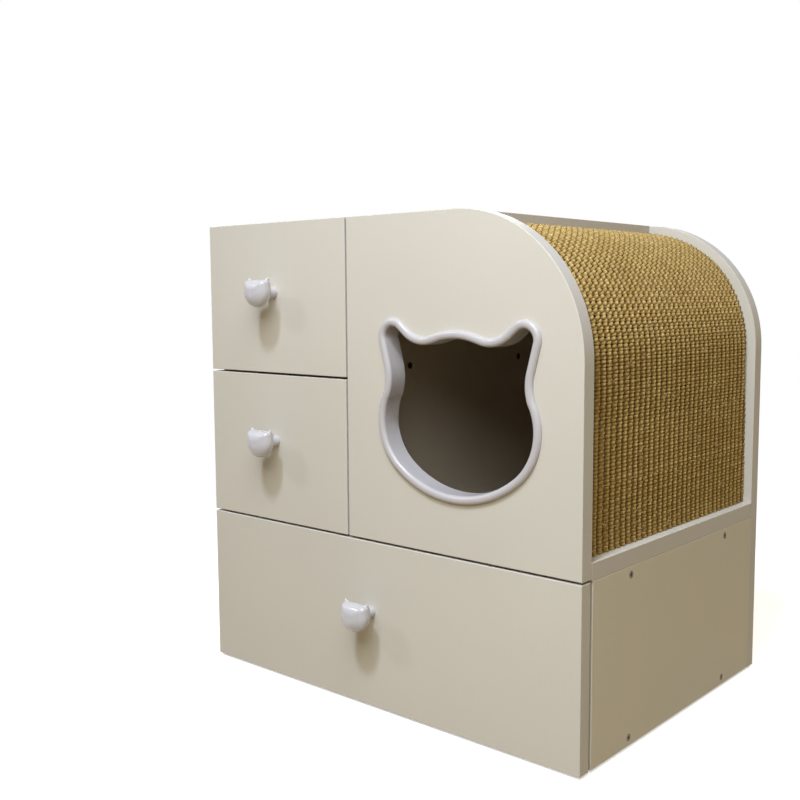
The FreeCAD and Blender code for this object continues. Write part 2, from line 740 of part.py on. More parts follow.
def bay(name):
    """The space a drawer runs in: x0, x1, z0, z1."""
    spaces = {
        "litter_drawer": (BOARD, RIGHT_INNER, FLOOR_TOP, CEILING),
        "lower_drawer": (BOARD, PARTITION_LEFT, DECK_TOP, SHELF_UNDER),
        "upper_drawer": (BOARD, PARTITION_LEFT, SHELF_TOP, TOP_UNDER),
    }
    return spaces[name]


def front_outline(name):
    """A drawer front's x0, x1, z0, z1."""
    half_gap = FRONT_GAP / 2
    outlines = {
        "litter_drawer": (0, WIDTH, BASE, FRONT_SPLIT - half_gap),
        "lower_drawer": (0, SPLIT_X - half_gap, FRONT_SPLIT + half_gap, DRAWER_SPLIT - half_gap),
        "upper_drawer": (0, SPLIT_X - half_gap, DRAWER_SPLIT + half_gap, TOP),
    }
    return outlines[name]


def knob_place(name):
    places = {
        "litter_drawer": (WIDTH / 2, LITTER_KNOB_SHARE),
        "lower_drawer": (KNOB_X, LOWER_KNOB_SHARE),
        "upper_drawer": (KNOB_X, UPPER_KNOB_SHARE),
    }
    x, share = places[name]
    x0, x1, z0, z1 = front_outline(name)
    return x, z0 + (z1 - z0) * share


def drawer_box(name):
    """The outside of a drawer's box: x0, x1, z0, z1."""
    x0, x1, z0, z1 = bay(name)
    return x0 + SLIDE_SPACE, x1 - SLIDE_SPACE, z0 + UNDER_CLEARANCE, z1 - OVER_CLEARANCE


def drawer_floor(name, grow=0.0):
    """The bottom sheet, which sits in grooves; with grow, the groove's own size."""
    x0, x1, z0, z1 = drawer_box(name)
    inset = DRAWER_BOARD - GROOVE_DEPTH
    low = z0 + GROOVE_HEIGHT
    return box(x0 + inset - grow, x1 - inset + grow,
               DRAWER_FRONT + inset - grow, BOX_BACK - inset + grow,
               low - grow, low + DRAWER_BOTTOM + grow)


def knob_bolt(name, grow=0.0):
    x, z = knob_place(name)
    seat = vec(x, DRAWER_FRONT + DRAWER_BOARD, z)
    length = DRAWER_FRONT + DRAWER_BOARD + BOLT_BITE
    return pan_head(seat, -Y_AXIS, BOLT_HEAD, BOLT_HEAD_HEIGHT, BOLT, length, grow)


def drawer_front(name):
    x0, x1, z0, z1 = front_outline(name)
    return cut(board(x0, x1, 0, DRAWER_FRONT, z0, z1), [knob_bolt(name, SCREW_FIT)])


def drawer_side(name, side):
    x0, x1, z0, z1 = drawer_box(name)
    start = x0 if side < 0 else x1 - DRAWER_BOARD
    solid = board(start, start + DRAWER_BOARD, DRAWER_FRONT, BOX_BACK, z0, z1)
    middle = (z0 + z1) / 2
    face = x0 if side < 0 else x1
    holes = [slide_screw(face, side, 0, y, middle, SCREW_FIT) for y in slide_screw_ys()]
    return cut(solid, [drawer_floor(name, GROOVE_FIT)] + holes)


def drawer_cross_board(name, y0):
    """A drawer's inner front or back, between its sides."""
    x0, x1, z0, z1 = drawer_box(name)
    solid = board(x0 + DRAWER_BOARD, x1 - DRAWER_BOARD, y0, y0 + DRAWER_BOARD, z0, z1)
    return cut(solid, [drawer_floor(name, GROOVE_FIT), knob_bolt(name, SCREW_FIT)])


def knob_outline(y, scale):
    """A cat's head without its ears, seen from the front, scaled about the knob's axis."""
    jaw = KNOB_WIDTH / 2
    circles = [
        (0, jaw - KNOB_CHIN, jaw, 1),
        (KNOB_CORNER_OUT, KNOB_CORNER_RISE, KNOB_CORNER_RADIUS, 1),
        (0, KNOB_BROW_RISE - KNOB_BROW_RADIUS, KNOB_BROW_RADIUS, 1),
        (-KNOB_CORNER_OUT, KNOB_CORNER_RISE, KNOB_CORNER_RADIUS, 1),
    ]
    return belt_wire([(x * scale, z * scale, radius * scale, turn) for x, z, radius, turn in circles], y)


def knob_sections():
    """The head's outlines from its flat front to its shoulder, as (y, scale)."""
    half = KNOB_WIDTH / 2
    power = 2 / KNOB_SWELL
    start = math.asin((KNOB_FLAT / half) ** (1 / power))
    end = math.pi - math.asin(((KNOB_STEM / 2 + KNOB_SHOULDER) / half) ** (1 / power))
    front = math.cos(start) ** power
    sections = []
    for index in range(KNOB_SECTIONS + 1):
        angle = start + (end - start) * index / KNOB_SECTIONS
        reach = math.copysign(abs(math.cos(angle)) ** power, math.cos(angle))
        y = (front - reach) * KNOB_HEAD / 2 - KNOB_LENGTH
        sections.append((y, math.sin(angle) ** power))
    return sections


def knob_ear(side):
    """A cone with a round tip, leaning outwards, for one of the head's ears."""
    lean = math.radians(KNOB_EAR_LEAN)
    half_angle = math.radians(KNOB_EAR_ANGLE)
    up = vec(side * math.sin(lean), 0, math.cos(lean))
    point = vec(side * KNOB_EAR_OUT, KNOB_EAR_BACK - KNOB_LENGTH, KNOB_EAR_RISE)
    tip = point - up * (KNOB_EAR_TIP / math.sin(half_angle))
    touch = KNOB_EAR_TIP * math.cos(half_angle) / math.tan(half_angle)
    cone = Part.makeCone(KNOB_EAR_LENGTH * math.tan(half_angle), touch * math.tan(half_angle),
                         KNOB_EAR_LENGTH - touch, point - up * KNOB_EAR_LENGTH, up)
    return fuse([cone, Part.makeSphere(KNOB_EAR_TIP, tip)])


def knob(name):
    """A swelling cat-head knob on a round stem, with a blind hole for its bolt."""
    sections = knob_sections()
    head = Part.makeLoft([knob_outline(y, scale) for y, scale in sections], True, False)
    head = fuse([head, knob_ear(-1), knob_ear(1)])
    back_y = sections[-1][0]
    stem = Part.makeCylinder(KNOB_STEM / 2, -back_y, vec(0, back_y, 0), Y_AXIS)
    solid = fuse([head, stem])
    x, z = knob_place(name)
    solid.translate(vec(x, 0, z))
    return solid.cut(knob_bolt(name, SCREW_FIT))


# Litter tray

def tray_shell(inset, z0, z1):
    """A rounded pan that widens upwards, drawn inset from the drawer's inside."""
    x0, x1, box_z0, box_z1 = drawer_box("litter_drawer")
    gap = TRAY_SIDE_GAP + inset
    left = x0 + DRAWER_BOARD + gap
    right = x1 - DRAWER_BOARD - gap
    front = DRAWER_FRONT + DRAWER_BOARD + gap
    back = BOX_BACK - DRAWER_BOARD - gap
    rims = []
    for z, narrow in ((z0, TRAY_TAPER), (z1, 0.0)):
        rims.append(rounded_wire(left + narrow, right - narrow, front + narrow, back - narrow,
                                 TRAY_CORNER - inset, z))
    return Part.makeLoft(rims, True, True)


def rounded_wire(x0, x1, y0, y1, radius, z):
    """A rounded rectangle in the plane at z."""
    plate = box(x0, x1, y0, y1, z, z + 1)
    uprights = [edge for edge in plate.Edges if abs(edge.tangentAt(0).z) > 0.9]
    plate = plate.makeFillet(radius, uprights)
    base = [face for face in plate.Faces if abs(face.CenterOfMass.z - z) < 0.01]
    return base[0].OuterWire


def litter_tray():
    x0, x1, z0, z1 = drawer_box("litter_drawer")
    low = z0 + GROOVE_HEIGHT + DRAWER_BOTTOM
    high = low + TRAY_HEIGHT
    shell = tray_shell(0, low, high)
    rim = tray_shell(-TRAY_RIM, high - TRAY_WALL, high)
    inside = tray_shell(TRAY_WALL, low + TRAY_WALL, high + TRAY_WALL)
    return fuse([shell, rim]).cut(inside)


# Feet

def foot_places():
    return [(x, y) for x in (FOOT_INSET, WIDTH - FOOT_INSET) for y in (FOOT_INSET, DEPTH - FOOT_INSET)]


def foot_pin(x, y, grow=0.0):
    return Part.makeCylinder(FOOT_PIN / 2 + grow, FOOT_PIN_LENGTH + grow, vec(x, y, BASE), Z_AXIS)


def foot(x, y):
    """A low round glide with its nail."""
    pad = Part.makeCylinder(FOOT / 2, FOOT_HEIGHT, vec(x, y, 0), Z_AXIS)
    rim = [edge for edge in pad.Edges if edge.Closed and edge.BoundBox.ZMax < 0.01]
    pad = pad.makeFillet(FOOT_HEIGHT / 3, rim)
    return fuse([pad, foot_pin(x, y)])


# Build and save

def build_carcass():
    save("bottom_board", bottom_board())
    save("lower_left_side", lower_side(0, BOARD))
    save("lower_right_side", lower_side(RIGHT_INNER, WIDTH))
    save("lower_top_board", lower_top_board())
    save("deck_board", deck_board())
    save("upper_left_side", upper_left_side())
    save("partition_panel", partition_panel())
    save("drawer_shelf", drawer_shelf())
    save("top_board", top_board())
    save("back_panel", back_panel())
    save("entry_front_panel", entry_front_panel())
    save("glide_feet", join([foot(x, y) for x, y in foot_places()]))


def build_sisal_side():
    save("curved_backing", curved_backing())
    save("front_curved_rib", curved_rib(CARCASS_FRONT, CARCASS_FRONT + RIB_THICKNESS, True))
    save("back_curved_rib", curved_rib(BACK_INNER - RIB_THICKNESS, BACK_INNER, False))
    save("sisal_mat", sisal_mat())


def build_entrance():
    save("entry_ring_front", entry_ring_front())
    save("entry_ring_back", entry_ring_back())
    save("entry_ring_screws", join([ring_screw(point) for point in ring_screw_points()]))


def build_fasteners():
    side = [countersunk(point, way, SCREW_LENGTH) for point, way in side_screw_points()]
    back = [countersunk(point, way, SCREW_LENGTH) for point, way in back_screw_points()]
    short_points = deck_screw_points() + rib_screw_points(True) + rib_screw_points(False)
    short = [countersunk(point, way, SHORT_SCREW_LENGTH) for point, way in short_points]
    save("side_screws", join(side))
    save("back_panel_screws", join(back))
    save("short_screws", join(short))
    save("dowels", join([dowel(point, way) for point, way in dowel_points()]))


def build_slides():
    rails = []
    screws = []
    for name, face, side, z in slide_lines():
        rails.append(cabinet_member(face, side, z))
        screws += [slide_screw(face, side, SLIDE_SPACE, y, z) for y in slide_screw_ys()]
    save("cabinet_slide_rails", join(rails))
    save("cabinet_slide_screws", join(screws))
    for drawer in DRAWERS:
        lines = [line for line in slide_lines() if line[0] == drawer]
        members = [drawer_member(face, side, z) for name, face, side, z in lines]
        cages = []
        drawer_screws = []
        for name, face, side, z in lines:
            cages += ball_cage(face, side, z, 1) + ball_cage(face, side, z, -1)
            drawer_screws += [slide_screw(face, side, 0, y, z) for y in slide_screw_ys()]
        save(drawer + "_slide_members", join(members))
        save(drawer + "_ball_cages", join(cages))
        save(drawer + "_slide_screws", join(drawer_screws))


def build_drawer(name):
    save(name + "_front", drawer_front(name))
    save(name + "_left_side", drawer_side(name, -1))
    save(name + "_right_side", drawer_side(name, 1))
    save(name + "_inner_front", drawer_cross_board(name, DRAWER_FRONT))
    save(name + "_back", drawer_cross_board(name, BOX_BACK - DRAWER_BOARD))
    save(name + "_bottom", drawer_floor(name))
    save(name + "_knob", knob(name))
    save(name + "_knob_bolt", knob_bolt(name))


os.makedirs("parts", exist_ok=True)
build_carcass()
build_sisal_side()
build_entrance()
build_fasteners()
build_slides()
for drawer in DRAWERS:
    build_drawer(drawer)
save("litter_tray", litter_tray())
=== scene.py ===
import json
import math
import random

import bpy
from mathutils import Matrix, Vector


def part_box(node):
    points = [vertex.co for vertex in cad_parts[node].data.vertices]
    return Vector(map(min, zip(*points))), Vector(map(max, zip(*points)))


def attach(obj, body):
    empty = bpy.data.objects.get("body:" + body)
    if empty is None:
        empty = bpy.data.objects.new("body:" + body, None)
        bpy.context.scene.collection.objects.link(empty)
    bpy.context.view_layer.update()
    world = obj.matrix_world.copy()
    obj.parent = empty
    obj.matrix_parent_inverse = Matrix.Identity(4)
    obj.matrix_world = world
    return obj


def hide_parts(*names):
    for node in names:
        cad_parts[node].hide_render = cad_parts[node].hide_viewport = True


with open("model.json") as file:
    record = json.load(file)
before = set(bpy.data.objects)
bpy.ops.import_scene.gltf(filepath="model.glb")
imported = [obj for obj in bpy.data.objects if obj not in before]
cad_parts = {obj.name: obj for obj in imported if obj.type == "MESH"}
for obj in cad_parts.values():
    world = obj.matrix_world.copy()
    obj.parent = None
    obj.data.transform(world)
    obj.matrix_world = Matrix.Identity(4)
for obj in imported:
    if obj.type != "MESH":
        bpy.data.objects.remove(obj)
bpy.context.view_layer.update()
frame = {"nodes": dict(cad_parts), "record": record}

NODES = frame["nodes"]

# Camera, fitted to the photograph: metres and degrees
CAMERA_PLACE = Vector((0.7659, -1.0008, 0.4623))
CAMERA_YAW = 41.46
CAMERA_PITCH = -5.81
CAMERA_ROLL = -0.35
CAMERA_LENS = 46.36

# Sisal side, in metres: the bend's axis, and distances from it
BEND_X = 0.120
BEND_Z = 0.398
DECK_TOP = 0.209
MAT_OUTER = 0.141
MAT_INNER = 0.134
CLOTH_OUTER = 0.1362
CORD_OUT = 0.13655
FIBRE_OUT = 0.1402

# Weave: rows of two cords each, which swell over ribs and pinch together between them
ROWS = 55
RIB_PITCH = 0.01116
RIB_RISE = 0.00270
RIB_POWER = 1.15
RIB_STEPS = 8
CORD_SIDES = 8
CORD_HALF_WIDTH = 0.00205
CORD_HALF_DEPTH = 0.00155
CORD_SPREAD = (0.95, 1.05)
CORD_END_GAP = 0.0012
CORD_SWELL_LOW = 0.78
CORD_SWELL_MORE = 0.26
TWIST_LENGTH = 0.0046
ROW_LIFT = 0.00015
STEP_LIFT = 0.0001
DRIFT = 0.00015
DRIFT_LENGTH = 0.021
SIDE_SWING = 0.0005
PLY_SPACE = 1.02

# The weave changes from upright to bent over this length, from just under the bend
TURN_BEFORE = 0.01
TURN_LENGTH = 0.06
SLANT_UPRIGHT = 0.25
SLANT_MORE = 0.30
PINCH_UPRIGHT = 0.16
PINCH_MORE = 0.16
# These scale the stored crest value, which sets the painted shade in the hollows; the lower value on
# the upright part leaves it a little darker there
CREST_UPRIGHT = 0.82
CREST_MORE = 0.18

# The ribs wander a little from row to row: size, length and start of two waves
WANDER_BROAD = (0.0015, 0.043, 0.6)
WANDER_FINE = (0.0006, 0.0145)

CLOTH_STEPS = 80

# Loose fibres, in metres, with their spread of heading in radians
FIBRES = 420
FIBRE_STEPS = 5
FIBRE_SIDES = 4
FIBRE_REACH = (0.004, 0.012)
FIBRE_HEADING = 0.6
FIBRE_RISE = (0.0003, 0.0013)
FIBRE_HALF_WIDTH = (0.00009, 0.00016)
FIBRE_EDGE = 0.004
FIBRE_TOP_EDGE = 0.012
FIBRE_BACK_EDGE = 0.016

# Colours of the laminate and the sisal; the chamber cream, twist groove and rib hollow colours are
# painted shade
CREAM = (0.64, 0.605, 0.535)
BAND = (0.565, 0.545, 0.53)
# Painted shade: a darker, browner copy of the cream laminate for the shade inside the litter chamber
CHAMBER_SHADE_CREAM = (0.60, 0.52, 0.41)
STRAW_DEEP = (0.44, 0.30, 0.10)
STRAW_PALE = (0.67, 0.50, 0.22)
STRAW_SHADE = (0.39, 0.255, 0.085)
# Painted shade: the darker colour in the grooves of the cord's twist
TWIST_GROOVE_SHADE = (0.25, 0.15, 0.045)
# Painted shade: the dark colour in the hollows between the ribs
RIB_HOLLOW_SHADE = (0.12, 0.064, 0.014)

# Studio: floor, world and lamps
FLOOR_REACH = 12.0
FLOOR_LIFT = 0.55
FLOOR_FADE = (0.45, 1.2)
FLOOR_WARM = (0.27, 0.195, 0.075)
SKY_WARM = (1.0, 0.72, 0.28)
SKY_STRENGTH = 0.17
MIDDLE = (0.0, 0.0, 0.3)
LAMPS = (
    # name, place, target, diameter in metres, watts, colour
    ("ceiling_key", (0.6, -2.4, 4.2), MIDDLE, 0.55, 104, (0.83, 0.96, 1.18)),
    ("front_soft", (0.55, -0.95, 1.25), (0.15, -0.1, 0.4), 1.1, 15.5, (0.96, 1.0, 1.01)),
    ("left_soft", (-2.2, -1.9, 2.2), MIDDLE, 0.5, 14, (0.96, 0.98, 1.0)),
    ("warm_side", (2.6, 0.6, 1.0), MIDDLE, 1.4, 4.8, (1.0, 0.72, 0.10)),
    ("back_soft", (-1.6, 2.2, 1.5), MIDDLE, 1.2, 44, (1.0, 0.98, 0.95)),
)


def add_camera():
    yaw = math.radians(CAMERA_YAW)
    pitch = math.radians(CAMERA_PITCH)
    roll = math.radians(CAMERA_ROLL)
    level = math.cos(pitch)
    ahead = Vector((-math.sin(yaw) * level, math.cos(yaw) * level, math.sin(pitch)))
    flat_right = Vector((math.cos(yaw), math.sin(yaw), 0))
    flat_up = flat_right.cross(ahead)
    right = flat_right * math.cos(roll) + flat_up * math.sin(roll)
    up = flat_up * math.cos(roll) - flat_right * math.sin(roll)
    data = bpy.data.cameras.new("camera")
    data.sensor_width = 36
    data.lens = CAMERA_LENS
    camera = bpy.data.objects.new("camera", data)
    turn = Matrix((right, up, -ahead)).transposed().to_4x4()
    camera.matrix_world = Matrix.Translation(CAMERA_PLACE) @ turn
    bpy.context.scene.collection.objects.link(camera)
    bpy.context.scene.camera = camera


class Tree:
    """A node tree, emptied, with short calls for its nodes and links."""

    def __init__(self, tree):
        self.tree = tree
        self.tree.nodes.clear()

    def node(self, kind, **settings):
        made = self.tree.nodes.new(kind)
        for key, value in settings.items():
            if key in made.inputs.keys():
                made.inputs[key].default_value = value
            else:
                setattr(made, key, value)
        return made

    def link(self, source, output, target, entry):
        self.tree.links.new(source.outputs[output], target.inputs[entry])

    def by_ray(self, others, straight, output):
        """Shows straight to camera, glossy and transmission rays, and others to all other rays."""
        path = self.node("ShaderNodeLightPath")
        sight = (path, "Is Camera Ray")
        for ray in ("Is Glossy Ray", "Is Transmission Ray"):
            either = self.node("ShaderNodeMath", operation="ADD", use_clamp=True)
            self.link(*sight, either, 0)
            self.link(path, ray, either, 1)
            sight = (either, 0)
        choice = self.node("ShaderNodeMixShader")
        self.link(*sight, choice, "Fac")
        self.link(others, 0, choice, 1)
        self.link(straight, 0, choice, 2)
        self.link(choice, "Shader", output, "Surface")


class Recipe(Tree):
    """A material with a principled shader, and short calls for what feeds it."""

    def __init__(self, name):
        self.material = bpy.data.materials.new(name)
        self.material.use_nodes = True
        super().__init__(self.material.node_tree)
        self.output = self.node("ShaderNodeOutputMaterial")
        self.shader = self.node("ShaderNodeBsdfPrincipled")
        self.link(self.shader, "BSDF", self.output, "Surface")

    def place(self, scale):
        """Object coordinates in metres, stretched by scale."""
        where = self.node("ShaderNodeTexCoord")
        stretch = self.node("ShaderNodeMapping", Scale=scale)
        self.link(where, "Object", stretch, "Vector")
        return stretch

    def noise(self, scale, stretch=(1, 1, 1), detail=4.0, roughness=0.55):
        grain = self.node("ShaderNodeTexNoise", Scale=scale, Detail=detail, Roughness=roughness)
        self.link(self.place(stretch), "Vector", grain, "Vector")
        return grain

    def span(self, source, output, low, high, start=0.3, end=0.7):
        """The source's value carried from start..end to low..high."""
        reach = self.node("ShaderNodeMapRange")
        reach.inputs["From Min"].default_value = start
        reach.inputs["From Max"].default_value = end
        reach.inputs["To Min"].default_value = low
        reach.inputs["To Max"].default_value = high
        self.link(source, output, reach, "Value")
        return reach

    def mix(self, factor, output, first, second):
        """A colour between first and second; either may be a colour or a node."""
        blend = self.node("ShaderNodeMix", data_type="RGBA")
        self.link(factor, output, blend, "Factor")
        for value, entry in ((first, 6), (second, 7)):
            if isinstance(value, tuple):
                blend.inputs[entry].default_value = (*value, 1)
            else:
                self.tree.links.new(value.outputs[2], blend.inputs[entry])
        return blend

    def colour(self, blend):
        self.tree.links.new(blend.outputs[2], self.shader.inputs["Base Color"])

    def bump(self, source, output, strength, distance, previous=None):
        relief = self.node("ShaderNodeBump", Strength=strength, Distance=distance)
        self.link(source, output, relief, "Height")
        if previous:
            self.link(previous, "Normal", relief, "Normal")
        self.link(relief, "Normal", self.shader, "Normal")
        return relief

    def rough(self, source, output, low, high):
        self.link(self.span(source, output, low, high), "Result", self.shader, "Roughness")

    def fixed(self, **values):
        for key, value in values.items():
            self.shader.inputs[key.replace("_", " ")].default_value = value


def tone(colour, factor):
    return tuple(min(1.0, channel * factor) for channel in colour)


def laminate(name, colour, band=None, face_axis=None, grain=(1, 1, 0.08)):
    """Satin laminate with a fine pressed grain; edges at right angles to face_axis get band."""
    recipe = Recipe(name)
    broad = recipe.noise(4.0, detail=2.0)
    spread = recipe.span(broad, "Fac", 0.0, 1.0)
    face = recipe.mix(spread, "Result", tone(colour, 0.965), tone(colour, 1.02))
    fibre = recipe.noise(900.0, grain, detail=3.0, roughness=0.7)
    lines = recipe.span(fibre, "Fac", 0.0, 0.5, 0.55, 0.8)
    face = recipe.mix(lines, "Result", face, tone(colour, 0.90))
    if band:
        shape = recipe.node("ShaderNodeNewGeometry")
        parts = recipe.node("ShaderNodeSeparateXYZ")
        recipe.link(shape, "True Normal", parts, "Vector")
        size = recipe.node("ShaderNodeMath", operation="ABSOLUTE")
        recipe.link(parts, face_axis, size, 0)
        edge = recipe.span(size, 0, 1.0, 0.0, 0.35, 0.65)
        face = recipe.mix(edge, "Result", face, band)
    recipe.colour(face)
    recipe.bump(fibre, "Fac", 0.12, 0.0003)
    recipe.rough(broad, "Fac", 0.46, 0.54)
    recipe.fixed(Specular_IOR_Level=0.2)
    return recipe.material


def plastic(name, colour, low, high, coat=0.0, grain=60.0, relief=0.04):
    recipe = Recipe(name)
    broad = recipe.noise(grain / 4, detail=2.0)
    spread = recipe.span(broad, "Fac", 0.0, 1.0)
    recipe.colour(recipe.mix(spread, "Result", tone(colour, 0.97), tone(colour, 1.01)))
    fine = recipe.noise(grain * 12, detail=2.0)
    recipe.bump(fine, "Fac", relief, 0.0003)
    recipe.rough(broad, "Fac", low, high)
    recipe.fixed(Coat_Weight=coat, Coat_Roughness=0.08)
    return recipe.material


def metal(name, colour, low, high, stretch=(1, 0.04, 1)):
    recipe = Recipe(name)
    lines = recipe.noise(1800.0, stretch, detail=3.0)
    spread = recipe.span(lines, "Fac", 0.0, 1.0)
    recipe.colour(recipe.mix(spread, "Result", tone(colour, 0.8), tone(colour, 1.08)))
    recipe.bump(lines, "Fac", 0.08, 0.0002)
    recipe.rough(lines, "Fac", low, high)
    recipe.fixed(Metallic=1.0)
    return recipe.material


def raw_wood(name, colour, dark, stretch):
    recipe = Recipe(name)
    rings = recipe.noise(60.0, stretch, detail=6.0, roughness=0.65)
    spread = recipe.span(rings, "Fac", 0.0, 1.0, 0.35, 0.68)
    face = recipe.mix(spread, "Result", colour, dark)
    pores = recipe.noise(1400.0, stretch, detail=2.0)
    specks = recipe.span(pores, "Fac", 0.0, 0.6, 0.58, 0.75)
    recipe.colour(recipe.mix(specks, "Result", face, tone(dark, 0.7)))
    recipe.bump(pores, "Fac", 0.2, 0.0004)
    recipe.rough(rings, "Fac", 0.6, 0.75)
    return recipe.material


def sisal_cord(name):
    """Twisted sisal: the UV's u runs along the cord in turns of its twist, v round it."""
    recipe = Recipe(name)
    where = recipe.node("ShaderNodeTexCoord")
    parts = recipe.node("ShaderNodeSeparateXYZ")
    recipe.link(where, "UV", parts, "Vector")
    helix = recipe.node("ShaderNodeMath", operation="ADD")
    recipe.link(parts, "X", helix, 0)
    recipe.link(parts, "Y", helix, 1)
    turns = recipe.node("ShaderNodeMath", operation="MULTIPLY")
    turns.inputs[1].default_value = 2 * math.pi
    recipe.link(helix, 0, turns, 0)
    wave = recipe.node("ShaderNodeMath", operation="SINE")
    recipe.link(turns, 0, wave, 0)
    patchy = recipe.noise(170.0, detail=5.0, roughness=0.7)
    spread = recipe.span(patchy, "Fac", 0.0, 1.0, 0.32, 0.68)
    straw = recipe.mix(spread, "Result", STRAW_DEEP, STRAW_PALE)
    broad = recipe.noise(14.0, detail=2.0)
    shade = recipe.span(broad, "Fac", 0.0, 0.35, 0.4, 0.65)
    straw = recipe.mix(shade, "Result", straw, STRAW_SHADE)
    # Painted shade: the straw darkens in the grooves of the twist
    groove_shade = recipe.span(wave, 0, 0.45, 0.0, -1.0, 0.1)
    straw = recipe.mix(groove_shade, "Result", straw, TWIST_GROOVE_SHADE)
    # Painted shade: where the stored crest value is low, in the hollows between ribs, the straw
    # darkens towards the hollow shade colour
    height = recipe.node("ShaderNodeAttribute", attribute_name="crest")
    hollow_shade = recipe.span(height, "Fac", 0.85, 0.0, 0.08, 0.84)
    recipe.colour(recipe.mix(hollow_shade, "Result", straw, RIB_HOLLOW_SHADE))
    fuzz = recipe.noise(2600.0, (1, 0.3, 1), detail=2.0)
    twist = recipe.bump(wave, 0, 0.5, 0.0006)
    recipe.bump(fuzz, "Fac", 0.35, 0.0005, twist)
    recipe.rough(patchy, "Fac", 0.7, 0.9)
    recipe.fixed(Specular_IOR_Level=0.08)
    return recipe.material


def dull(name, colour, dark, scale):
    recipe = Recipe(name)
    patchy = recipe.noise(scale, detail=5.0)
    spread = recipe.span(patchy, "Fac", 0.0, 1.0)
    recipe.colour(recipe.mix(spread, "Result", colour, dark))
    recipe.bump(patchy, "Fac", 0.3, 0.0006)
    recipe.fixed(Roughness=0.85)
    return recipe.material


def dress_frame():
    """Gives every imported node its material."""
    vertical = laminate("laminate_front", CREAM, BAND, "Y")
    side = laminate("laminate_side", CREAM, CREAM, "X")
    flat = laminate("laminate_flat", CREAM, BAND, "Z", (0.08, 1, 1))
    inner = laminate("laminate_drawer", tone(CREAM, 0.95))
    # Painted shade: the partition gets a darker, browner copy of the cream laminate for the shade in
    # the chamber
    chamber_shade = laminate("laminate_chamber_shade", CHAMBER_SHADE_CREAM)
    bent_wood = raw_wood("bent_plywood", (0.52, 0.38, 0.21), (0.34, 0.22, 0.10), (1, 0.06, 1))
    sisal = dull("sisal_plain", (0.5, 0.36, 0.16), (0.34, 0.22, 0.09), 300.0)
    even = (1, 1, 1)
    looks = {
        "laminate": side,
        "drawer_board": inner,
        "backing_plywood": bent_wood,
        "sisal": sisal,
        "trim_plastic": plastic("ring_plastic", (0.51, 0.485, 0.50), 0.26, 0.34, 0.1),
        "knob_plastic": plastic("knob_plastic", (0.545, 0.525, 0.56), 0.22, 0.30, 0.2),
        "slide_steel": metal("slide_zinc", (0.60, 0.60, 0.60), 0.28, 0.42),
        "ball_steel": metal("ball_polished", (0.66, 0.66, 0.67), 0.14, 0.24),
        "zinc_steel": metal("screw_zinc", (0.58, 0.58, 0.57), 0.28, 0.42, even),
        "bronze_steel": metal("screw_bronze", (0.115, 0.082, 0.055), 0.35, 0.5, even),
        "dowel_wood": raw_wood("beech", (0.60, 0.44, 0.25), (0.45, 0.30, 0.15), (1, 0.1, 1)),
        "tray_plastic": plastic("tray_plastic", (0.60, 0.59, 0.57), 0.45, 0.55, 0.0, 90.0, 0.12),
        "glide_plastic": plastic("glide_plastic", (0.60, 0.60, 0.58), 0.4, 0.5, 0.0, 90.0, 0.1),
    }
    upright = ("entry_front_panel", "back_panel", "litter_drawer_front", "lower_drawer_front",
               "upper_drawer_front")
    level = ("top_board", "deck_board", "bottom_board", "lower_top_board", "drawer_shelf")
    for part in frame["record"]["subparts"]:
        node = part["node"]
        look = looks[part["material_slot"]]
        if node in upright:
            look = vertical
        if node in level:
            look = flat
        if node == "partition_panel":
            look = chamber_shade
        data = NODES[node].data
        data.materials.clear()
        data.materials.append(look)


def on_mat(s, y, out):
    """The point s metres up the sisal from the deck, at depth y, out metres from the bend's axis."""
    upright = BEND_Z - DECK_TOP
    if s < upright:
        return Vector((BEND_X + out, y, DECK_TOP + s))
    angle = (s - upright) / MAT_OUTER
    return Vector((BEND_X + out * math.cos(angle), y, BEND_Z + out * math.sin(angle)))


def out_of_mat(s):
    upright = BEND_Z - DECK_TOP
    angle = max(0.0, (s - upright) / MAT_OUTER)
    return Vector((math.cos(angle), 0, math.sin(angle)))


def new_mesh(name, points, faces, material, turns=None, heights=None):
    data = bpy.data.meshes.new(name)
    data.from_pydata([tuple(point) for point in points], [], faces)
    if turns:
        layer = data.uv_layers.new(name="twist")
        for loop in data.loops:
            layer.data[loop.index].uv = turns[loop.vertex_index]
    if heights:
        data.attributes.new("crest", "FLOAT", "POINT").data.foreach_set("value", heights)
    data.shade_smooth()
    data.materials.append(material)
    data.update()
    made = bpy.data.objects.new(name, data)
    bpy.context.scene.collection.objects.link(made)
    return made


def tube(points, faces, turns, sides, centres, frames, twist):
    """Adds a closed tube through centres; frames gives two half-axis vectors at each."""
    start = len(points)
    for index, (centre, (first, second)) in enumerate(zip(centres, frames)):
        for side in range(sides):
            angle = 2 * math.pi * side / sides
            points.append(centre + first * math.cos(angle) + second * math.sin(angle))
            turns.append((index * twist, side / sides))
    count = len(centres)
    for index in range(count - 1):
        for side in range(sides):
            a = start + index * sides + side
            b = start + index * sides + (side + 1) % sides
            faces.append((a, b, b + sides, a + sides))
    faces.append(tuple(start + side for side in reversed(range(sides))))
    faces.append(tuple(start + (count - 1) * sides + side for side in range(sides)))


def mat_length():
    """The mat's length up the side and over the bend, at its outer face."""
    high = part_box("sisal_mat")[1]
    end = math.asin(min(1.0, (high.z - BEND_Z) / MAT_OUTER))
    return BEND_Z - DECK_TOP + MAT_OUTER * end


def wander(middle):
    """How far a row's ribs stand from where even ribs would be."""
    size, length, start = WANDER_BROAD
    fine_size, fine_length = WANDER_FINE
    broad = size * math.sin(middle / length + start)
    return broad + fine_size * math.sin(middle / fine_length)


